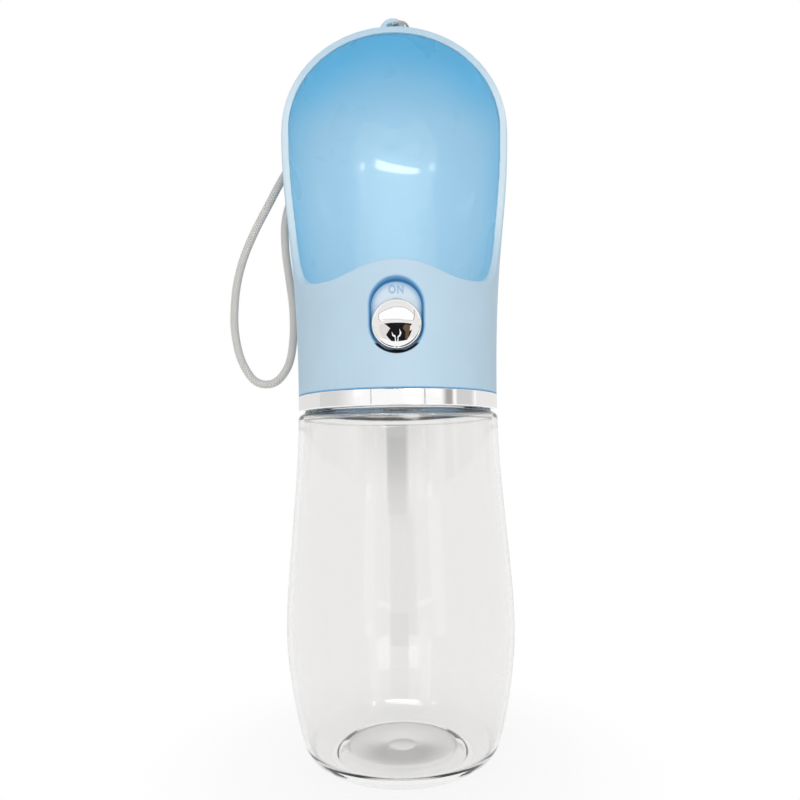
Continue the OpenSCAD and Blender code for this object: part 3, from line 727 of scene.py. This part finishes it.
class WATERBOTTLE_OT_trim(bpy.types.Operator):
    """Turns the bright ring and the domed button finely, so that their plating reflects cleanly"""

    bl_idname = "waterbottle.trim"
    bl_label = "Bright trim"

    def execute(self, context):
        low, high, skirt = (107.85 * MM, 112.45 * MM, 108.85 * MM)
        inner, slit, outer = (29.0 * MM, 29.85 * MM, 31.0 * MM)
        edge, fine = 0.25 * MM, 0.1 * MM
        outline = [(inner, low)] + arc((outer - edge, low + edge), edge, -90, 0, 5)
        outline += [(outer, low + edge * 1.5), (outer, high - fine * 2)]
        outline += arc((outer - fine, high - fine), fine, 0, 90, 3)
        outline += [(slit, high), (slit, skirt), (inner, skirt), (inner, low)]
        ring = turn("bright_ring", outline, 240)
        seat(ring, "head", "bright_trim")
        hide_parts("trim_ring")
        r, back, soft, crown, shank, rise = (v * MM for v in (6.75, -30.4, 0.5, 1.8, 2.05, 1.2))
        ball = ((r - soft) ** 2 + crown**2) / (2 * crown)
        reach = 90 - degrees(asin((r - soft) / ball))
        outline = [(0, rise), (shank, rise), (shank, 0), (r - fine, 0), (r, fine)]
        outline += arc((r - soft, rise - soft), soft, 0, 90, 8) + arc((0, rise + crown - ball), ball, reach, 90, 28)
        button = turn("bright_button", outline, 160)
        apply_place(button, (0, back, SWITCH_LOW), (pi / 2, 0, 0))
        seat(button, "button", "bright_trim")
        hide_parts("button_cap")
        return {"FINISHED"}


def letters(name, words, width, height, place):
    """Raised generic letters that face -Y, drawn as outlines."""
    text = added(name, bpy.ops.object.text_add)
    text.data.name = name
    text.data.body = words
    text.data.size = height * 1.4
    text.data.align_x = text.data.align_y = "CENTER"
    text.data.fill_mode = "NONE"
    text.data.bevel_depth = 0.13 * MM
    text.data.bevel_resolution = 1
    text.data.resolution_u = 5
    text.data.space_character = 1.15
    bpy.ops.object.convert(target="MESH")
    piece = bpy.context.object
    weld(1e-6)
    piece.scale = (width / piece.dimensions[0], height / piece.dimensions[1], 1)
    apply_place(piece, place, (pi / 2, 0, 0))
    smooth_to(50)
    seat(piece, "head", "matte_shell", look="letters")


class WATERBOTTLE_OT_letters(bpy.types.Operator):
    """Raises the letters ON and OFF on the pocket's floor, above and below the button"""

    bl_idname = "waterbottle.letters"
    bl_label = "Switch letters"

    def execute(self, context):
        letters("letters_on", "ON", 4.2 * MM, 2.5 * MM, (0, POCKET_FLOOR_Y, 139.95 * MM))
        letters("letters_off", "OFF", 4.6 * MM, 2.1 * MM, (0, POCKET_FLOOR_Y, 125.6 * MM))
        return {"FINISHED"}


# ---------------- lanyard

STRING_ROUTE = [
    (-20.5, 22.4, 214.4), (-19, 20.8, 216.2), (-14, 16.5, 219.9), (-8, 10.5, 224), (-3, 3.5, 226.1),
    (-0.8, -1.5, 225.9), (-0.2, -5, 225.6), (0.3, -7.4, 225.6), (1.4, -8.4, 225.5), (2.8, -8.4, 225.6),
    (4, -7.7, 225.45), (4.7, -6.2, 225.25), (4.8, -4.2, 225.4), (3.6, -0.5, 225.9), (0, 6, 225.6),
    (-7, 13, 223.1), (-13, 18.5, 218.9), (-17.8, 22.4, 215.8), (-19.4, 23.4, 214),
]
CORD_ROUTE = [
    (-24.1, 23.2, 210.4), (-28.3, 22.8, 205), (-32.6, 20.2, 198), (-35.6, 15.5, 191.5), (-37.6, 9.5, 184.5),
    (-41, 7, 176.5), (-45.2, 6, 168), (-48.8, 6, 160), (-51.2, 6, 152), (-52.4, 6, 143.5), (-52.4, 6, 134.5),
    (-50.4, 6, 125.5), (-46, 6, 118.8), (-40, 6, 118.2), (-35.4, 6, 123.5), (-33.6, 6, 132), (-33.5, 6, 142),
    (-34.6, 6, 151.5), (-35.7, 6, 161), (-36, 7.5, 169.5), (-35.2, 10.8, 177), (-33.6, 15, 184),
    (-31.4, 19.2, 191.5), (-28.7, 23, 198.5), (-25.4, 25.8, 205), (-22.5, 25.2, 210),
]
FERRULE_FROM, FERRULE_TO = (-19.7, 22.4, 215.5), (-24.1, 24.6, 209)


def through(route, n=8):
    """Points of a smooth curve through a route in millimetres, with n steps for each stretch."""
    p = [Vector(q) * MM for q in route]
    points = []
    for i in range(len(p) - 1):
        a, b, c, d = p[max(i - 1, 0)], p[i], p[i + 1], p[min(i + 2, len(p) - 1)]
        for j in range(n + (i == len(p) - 2)):
            t = j / n
            bend, twist = 2 * a - 5 * b + 4 * c - d, 3 * b - a - 3 * c + d
            points.append(0.5 * (2 * b + (c - a) * t + bend * t * t + twist * t**3))
    return points


def length_of(points):
    return sum((b - a).length for a, b in zip(points, points[1:]))


def strand_tube(name, points, diameter, sides, spacing, strands, lay_length, depth):
    """A cord as a tube whose surface swells over each strand of its braid. U runs round and V along, in braid turns."""
    total = length_of(points)
    count = int(total / spacing)
    stations, walked, k = [], 0.0, 0
    for i in range(count + 1):
        want = total * i / count
        while k < len(points) - 2 and walked + (points[k + 1] - points[k]).length < want:
            walked += (points[k + 1] - points[k]).length
            k += 1
        step = (points[k + 1] - points[k]).length
        stations.append(points[k].lerp(points[k + 1], min(1.0, (want - walked) / step)))
    verts, faces, uvs = [], [], []
    side = None
    for i, p in enumerate(stations):
        ahead = (stations[min(i + 1, count)] - stations[max(i - 1, 0)]).normalized()
        side = ahead.orthogonal() if side is None else side
        side = (side - ahead * side.dot(ahead)).normalized()
        other = ahead.cross(side)
        along = total * i / count / lay_length
        for j in range(sides):
            u = j / sides
            first, second = sin(pi * (strands * u + along)), sin(pi * (strands * u - along))
            swell = abs(first) if first * second > 0 else abs(second)
            r = diameter / 2 - depth * (1 - swell)
            verts.append(p + side * (r * cos(2 * pi * u)) + other * (r * sin(2 * pi * u)))
    for i in range(count):
        v0, v1 = total * i / count / lay_length, total * (i + 1) / count / lay_length
        for j in range(sides):
            a, b = i * sides + j, i * sides + (j + 1) % sides
            faces.append((a, b, b + sides, a + sides))
            uvs += [(j / sides, v0), ((j + 1) / sides, v0), ((j + 1) / sides, v1), (j / sides, v1)]
    for ring in (range(sides - 1, -1, -1), range(count * sides, (count + 1) * sides)):
        faces.append(tuple(ring))
        uvs += [(0, 0)] * sides
    mesh = bpy.data.meshes.new(name)
    mesh.from_pydata(verts, [], faces)
    layer = mesh.uv_layers.new(name="UVMap")
    for loop, uv in zip(layer.data, uvs):
        loop.uv = uv
    mesh.polygons.foreach_set("use_smooth", [True] * len(mesh.polygons))
    piece = bpy.data.objects.new(name, mesh)
    bpy.context.scene.collection.objects.link(piece)
    return piece, stations


class WATERBOTTLE_OT_lanyard(bpy.types.Operator):
    """Lays the thin string through the ear and the wrist cord that hangs from their crimped ferrule"""

    bl_idname = "waterbottle.lanyard"
    bl_label = "Lanyard"

    def execute(self, context):
        s = sizes("lanyard_sizes")
        start, end = Vector(FERRULE_FROM) * MM, Vector(FERRULE_TO) * MM
        axis = end - start
        high = axis.length
        r, edge, groove = 3 * MM, 0.5 * MM, 0.35 * MM
        outline = [(0, 0), (r - edge, 0)] + arc((r - edge, edge), edge, -90, 0, 4)
        for at in (0.36 * high, 0.64 * high):
            outline += [(away, at + groove * i) for away, i in ((r, -2), (r - groove, -1), (r - groove, 1), (r, 2))]
        outline += arc((r - edge, high - edge), edge, 0, 90, 4) + [(0, high)]
        ferrule = turn("crimped_ferrule", outline, 40, angle=50)
        ferrule.rotation_mode = "QUATERNION"
        ferrule.rotation_quaternion = axis.to_track_quat("Z", "Y")
        apply_place(ferrule, start)
        seat(ferrule, "head", "ferrule_metal")
        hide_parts("lanyard_ferrule")
        sides, spacing, strands, lay, depth = 10, 0.12 * MM, 2.0, 1.1 * MM, 0.07 * MM
        string, line = strand_tube(
            "lanyard_string_loop", through(STRING_ROUTE), s.string_d, sides, spacing, strands, lay, depth
        )
        seat(string, "head", "string_fibre")
        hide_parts("lanyard_string")
        sides, spacing, strands, lay, depth = 24, 0.15 * MM, 4.0, 0.95 * MM, 0.11 * MM
        cord, line = strand_tube("wrist_cord", through(CORD_ROUTE), s.cord_d, sides, spacing, strands, lay, depth)
        seat(cord, "head", "woven_cord")
        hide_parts("lanyard_cord")
        return {"FINISHED"}


# ---------------- finishes of the carried-over nodes


class WATERBOTTLE_OT_finishes(bpy.types.Operator):
    """Builds the materials and gives each carried-over node the one of its slot"""

    bl_idname = "waterbottle.finishes"
    bl_label = "Finishes"

    def execute(self, context):
        for slot, material in make_finishes(sizes("water_bottle_colours")).items():
            FINISH_NAMES[slot] = material.name
        for row in frame["record"]["subparts"]:
            node = NODES[row["node"]]
            material = finish(row["material_slot"])
            if not node.material_slots:
                node.data.materials.append(material)
            for slot in node.material_slots:
                slot.material = material
        return {"FINISHED"}


# ---------------- stage


def upright(x0, x1, y, z0, z1):
    """Corners of a card that faces along Y."""
    return ((x0, y, z0), (x1, y, z0), (x1, y, z1), (x0, y, z1))


def round_card(start, end, z0, z1, away=300):
    """Corners of an upright card that stands away from the bottle's axis, between two angles from -Y towards +X."""
    a, b = [(away * sin(radians(v)), -away * cos(radians(v))) for v in (start, end)]
    return ((*a, z0), (*b, z0), (*b, z1), (*a, z1))


def near(y, *points):
    """Corners of a card close to the button, as (x, z) points at one y."""
    return tuple((x, y, z) for x, z in points)


SHARP = (0, 0, 0, 0)
WHITE, BLACK, DARK = (1, 1, 1), (0.01, 0.01, 0.012), (0.1, 0.1, 0.11)
# Cards that gloss and clear plastic see: colour, corners in millimetres from the lower left round, strength, and, on
# a card with four corners, the shares of its width and height that fade out at its left, right, foot and top.
CARDS = {
    "ring_end_left": ((0.8, 0.79, 0.775), round_card(-160, -92.8, 114, 170)),
    "ring_left_patch": ((0.7, 0.695, 0.68), round_card(-92.8, -38, 114, 170), 1, (0, 0.6, 0, 0)),
    "ring_left_line": ((0.5, 0.4, 0.33), round_card(-28.3, -27.4, 118, 160)),
    "ring_right_line": ((0.3, 0.28, 0.27), round_card(27.8, 28.7, 114, 160)),
    "ring_right_brown": ((0.42, 0.39, 0.37), round_card(46, 62, 114, 170), 1, (0.5, 0.25, 0, 0)),
    "ring_right_grey": ((0.66, 0.655, 0.65), round_card(63.5, 93, 114, 170), 1, (0.1, 0.3, 0, 0)),
    "ring_end_right": ((0.85, 0.84, 0.83), round_card(93, 160, 114, 170), 1, (0.02, 0, 0, 0)),
    "bottle_front": ((0.3, 0.3, 0.3), upright(-43, 72, -232, -120, 112), 1, (0.12, 0.25, 0.3, 0.1)),
    "bottle_back": ((0.6, 0.6, 0.605), upright(-5.6, 4.7, 60, 60, 111), 1, (0.1, 0.2, 0.9, 0.03)),
    "bottle_back_wide": ((0.84, 0.84, 0.84), upright(-21, 20, 62, 78, 111), 1, (0.25, 0.25, 0.95, 0.02)),
    "bottle_left": (WHITE, round_card(-38, -18, -140, 112), 1.4, (0.4, 0.5, 0.2, 0.02)),
    "bottle_right": (WHITE, round_card(26, 45, -140, 112), 1.4, (0.5, 0.3, 0.2, 0.02)),
    "bottle_shield": (WHITE, upright(-170, 170, -300, 40, 125.5)),
    "bottle_shield_near": (WHITE, upright(-60, 60, -100, 96, 112.5)),
    "trough_highlight": (
        WHITE, ((-262, -430, 235), (200, -430, 100), (215, -430, 235), (-262, -430, 320)), 9, (0.12, 0.12, 0.2, 0.35),
    ),
    "trough_left_spot": (WHITE, upright(-500, -350, -430, 190, 340), 6, (0.5, 0.5, 0.5, 0.5)),
    "trough_right_spot": (WHITE, upright(290, 400, -430, 160, 310), 8, (0.5, 0.5, 0.5, 0.5)),
    "trough_left_band": (WHITE, upright(-712, -470, -598, 170, 560), 1.5, (0.1, 0.15, 0.2, 0.1)),
    "trough_right_band": (WHITE, upright(400, 671, -598, 170, 560), 1.5, (0.15, 0.1, 0.2, 0.1)),
    "trough_band": (WHITE, upright(-712, 671, -600, 170, 560), 1.25, (0.08, 0.08, 0.1, 0.1)),
    "button_sky": (
        (0.85, 0.835, 0.82), ((-900, -700, 600), (900, -700, 600), (900, -60, 600), (-900, -60, 600)),
    ),
    "button_room": ((0.86, 0.845, 0.83), near(
        -46, (-60, 119.8), (-40, 117.7), (-20, 115.6), (0, 114.1), (20, 115.6), (40, 117.7), (60, 119.8), (60, 165),
        (-60, 165),
    )),
    "button_low_left": ((0.78, 0.74, 0.71), near(
        -45.4, (-18.6, 131.9), (-12.7, 131.4), (-5.8, 126.6), (-11.6, 120.7), (-9.3, 115), (-16.1, 116.5),
        (-19.7, 124.2),
    )),
    "button_panel": (WHITE, near(
        -45.4, (-23.3, 148), (-12.4, 150.3), (-2.1, 151.9), (11.3, 153.3), (21.6, 145.8), (19.5, 137.1),
        (7.5, 134.2), (-1.3, 134.8), (-9.7, 135.1), (-15.6, 134.3), (-21.1, 140.3),
    ), 1.05),
    "button_neck": (BLACK, near(
        -45, (-11.6, 131.8), (15.4, 131.7), (13.9, 129.8), (6.3, 126.8), (-5.2, 126.9), (-8.9, 129.9),
    )),
    "button_bulge": (BLACK, near(
        -45, (-5, 127.8), (5.8, 127.6), (10.1, 123.7), (15.6, 126), (13.7, 119.7), (10.6, 114.7), (3.4, 114.1),
        (-5.9, 114.2), (-10.5, 121),
    )),
    "button_brown": ((0.15, 0.09, 0.055), near(
        -44.8, (6.6, 130.2), (12.7, 130.6), (12.5, 125.6), (11.5, 114.8), (8.1, 117.7), (7.9, 123.8), (5.1, 127.3),
    )),
    "button_leaf_left": (WHITE, near(
        -44.6, (-4.1, 124.5), (-2.9, 121.8), (-1.2, 121.1), (-0.6, 114.1), (-1.7, 114.1), (-1.8, 119.3), (-4, 120.7),
    )),
    "button_leaf_right": (WHITE, near(
        -44.6, (2.1, 126.9), (4, 123.5), (3.2, 120.6), (1.6, 119.2), (1.6, 114.1), (0.6, 114.1), (0.7, 120.1),
        (2.3, 121.8), (2.6, 124.2),
    )),
    "button_line_top": ((0.25, 0.24, 0.22), near(
        -45, (-23, 148.1), (-16.3, 148.8), (-8.3, 150), (-2.1, 152), (4.2, 152.3), (11.2, 152.9), (16.8, 149.5),
        (21.3, 145.8), (20.8, 144.9), (16.3, 148.6), (10.8, 151.9), (4, 151.4), (-2.1, 151.2), (-8.1, 149.2),
        (-15.9, 148), (-22.4, 147.2),
    )),
    "button_line_middle": ((0.5, 0.47, 0.43), near(
        -45, (-15.5, 136.3), (-9.6, 135.6), (-1.3, 135), (7.4, 134.5), (16.6, 135.6), (16.5, 135.2), (7.3, 134.1),
        (-1.3, 134.6), (-9.5, 135.2), (-15.4, 135.8),
    )),
    "button_line_left": (DARK, near(
        -45, (-24.2, 149.4), (-22.3, 142.1), (-20.6, 138.1), (-16.4, 134.2), (-15.8, 134), (-19.8, 137.7),
        (-21.4, 141.5), (-22.9, 148.5),
    )),
    "button_line_right": ((0.4, 0.38, 0.35), near(
        -45, (29.8, 161), (24.9, 150.9), (21.3, 142.4), (17.2, 135.6), (18.6, 136), (23.4, 143.4), (27.8, 152.9),
        (33.5, 164),
    )),
}


def card(name, colour, corners, strength=1, soft=SHARP):
    """A flat stage card that only gloss and clear pieces see, with edges that fade out."""
    if len(corners) == 4:
        piece = added(name, bpy.ops.mesh.primitive_plane_add, size=1)
    else:
        piece = added(name, bpy.ops.mesh.primitive_circle_add, vertices=len(corners), fill_type="NGON")
    for index, corner in zip(piece.data.polygons[0].vertices, corners):
        piece.data.vertices[index].co = Vector(corner) * MM
    material = bpy.data.materials.new(name)
    material.use_nodes = True
    tree = material.node_tree
    tree.nodes.clear()
    tree.nodes.new("ShaderNodeOutputMaterial")
    u, v, _ = place_parts(tree, "UV")
    left, right, foot, top = soft
    mask = maths(tree, "ADD", 1.0, 0.0)
    for along, start, end in ((u, 0.0, left), (u, 1.0, 1.0 - right), (v, 0.0, foot), (v, 1.0, 1.0 - top)):
        if start != end:
            mask = product(tree, mask, fade(tree, along, start, end))
    glow = node_of(tree, "ShaderNodeEmission", Color=(*colour, 1), Strength=float(strength))
    mix_out(tree, mask, tree.nodes.new("ShaderNodeBsdfTransparent"), glow)
    dress(piece, material)
    piece.visible_camera = piece.visible_diffuse = piece.visible_shadow = False


def seen_rays(tree):
    """A mask of the rays by which the camera, gloss and clear pieces see."""
    light = tree.nodes.new("ShaderNodeLightPath").outputs
    gloss = maths(tree, "MAXIMUM", light["Is Glossy Ray"], light["Is Transmission Ray"])
    return maths(tree, "MAXIMUM", light["Is Camera Ray"], gloss)


def stage_floor():
    """A pale floor that keeps the shadow near the bottle and fades to the white behind."""
    floor = added("stage_floor", bpy.ops.mesh.primitive_plane_add, size=8)
    material, tree, shader = start_material("stage floor", (0.95, 0.95, 0.95), 0.6)
    glow = node_of(tree, "ShaderNodeEmission", Color=(1, 1, 1, 1), Strength=1.0)
    away = node_of(tree, "ShaderNodeVectorMath", operation="LENGTH")
    tree.links.new(places(tree), away.inputs[0])
    foot, white, least = 0.035, 0.09, 0.85
    whiter = map_range(tree, away.outputs["Value"], foot, white, least, 1.0)
    mix_out(tree, product(tree, whiter, seen_rays(tree)), shader, glow)
    dress(floor, material)


def white_world(level):
    """Plain light from all round, and white where the camera, gloss or clear pieces see past everything."""
    world = bpy.data.worlds.new("studio")
    bpy.context.scene.world = world
    world.use_nodes = True
    tree = world.node_tree
    tree.nodes.clear()
    tree.nodes.new("ShaderNodeOutputWorld")
    soft, white = [
        node_of(tree, "ShaderNodeBackground", Color=(1, 1, 1, 1), Strength=strength) for strength in (level, 1.0)
    ]
    mix_out(tree, seen_rays(tree), soft, white)


def lamp(name, place, aim, size, power):
    piece = added(name, bpy.ops.object.light_add, place, type="AREA")
    piece.data.shape = "RECTANGLE"
    piece.data.size, piece.data.size_y = size
    piece.data.energy = power
    piece.rotation_mode = "QUATERNION"
    piece.rotation_quaternion = (Vector(aim) - Vector(place)).to_track_quat("-Z", "Y")
    piece.visible_glossy = False


class WATERBOTTLE_OT_stage(bpy.types.Operator):
    """Sets the camera, the pale floor, the soft light and the cards that gloss reflects"""

    bl_idname = "waterbottle.stage"
    bl_label = "Stage"

    def execute(self, context):
        picture, focal, shift = 800, 700, 55  # pixels
        place, roll = mm((0.44, -220.7, 94.3))[0], radians(0.785)
        camera = added("camera", bpy.ops.object.camera_add, place, rotation=(pi / 2, roll, 0))
        camera.data.sensor_width = 36
        camera.data.lens = camera.data.sensor_width * focal / picture
        camera.data.shift_y = shift / picture
        camera.data.clip_start = 0.01
        context.scene.camera = camera
        context.scene.view_settings.view_transform = "Standard"
        stage_floor()
        white_world(0.62)
        lamp("front", (0, -0.75, 0.22), (0, 0, 0.14), (1.1, 0.45), 2.25)
        lamp("top", (0, -0.1, 0.8), (0, 0, 0.15), (0.5, 0.5), 0.35)
        for name, card_values in CARDS.items():
            card(name, *card_values)
        return {"FINISHED"}


class WATERBOTTLE_PT_panel(bpy.types.Panel):
    """Lists the sizes, the colours and the steps that build the bottle"""

    bl_label = "Water bottle"
    bl_idname = "WATERBOTTLE_PT_panel"
    bl_space_type = "VIEW_3D"
    bl_region_type = "UI"
    bl_category = "Water bottle"

    def draw(self, context):
        for name in GROUPS:
            box = self.layout.box()
            group = getattr(context.scene, name)
            for key in group.__annotations__:
                box.prop(group, key)
        for step in STEPS:
            self.layout.operator(step.bl_idname)


GROUPS = {
    "bottle_sizes": BottleSizes,
    "thread_sizes": ThreadSizes,
    "lanyard_sizes": LanyardSizes,
    "head_sizes": HeadSizes,
    "water_bottle_colours": Colours,
}
STEPS = (
    WATERBOTTLE_OT_stage,
    WATERBOTTLE_OT_finishes,
    WATERBOTTLE_OT_lanyard,
    WATERBOTTLE_OT_bottle,
    WATERBOTTLE_OT_threads,
    WATERBOTTLE_OT_shell,
    WATERBOTTLE_OT_trough,
    WATERBOTTLE_OT_trim,
    WATERBOTTLE_OT_letters,
)
CLASSES = (*GROUPS.values(), *STEPS, WATERBOTTLE_PT_panel)


def register():
    for kind in CLASSES:
        bpy.utils.register_class(kind)
    for name, kind in GROUPS.items():
        setattr(bpy.types.Scene, name, PointerProperty(type=kind))


def unregister():
    for name in GROUPS:
        delattr(bpy.types.Scene, name)
    for kind in reversed(CLASSES):
        bpy.utils.unregister_class(kind)


def main():
    register()
    for step in STEPS:
        family, label = step.bl_idname.split(".")
        getattr(getattr(bpy.ops, family), label)()


if __name__ == "__main__":
    main()
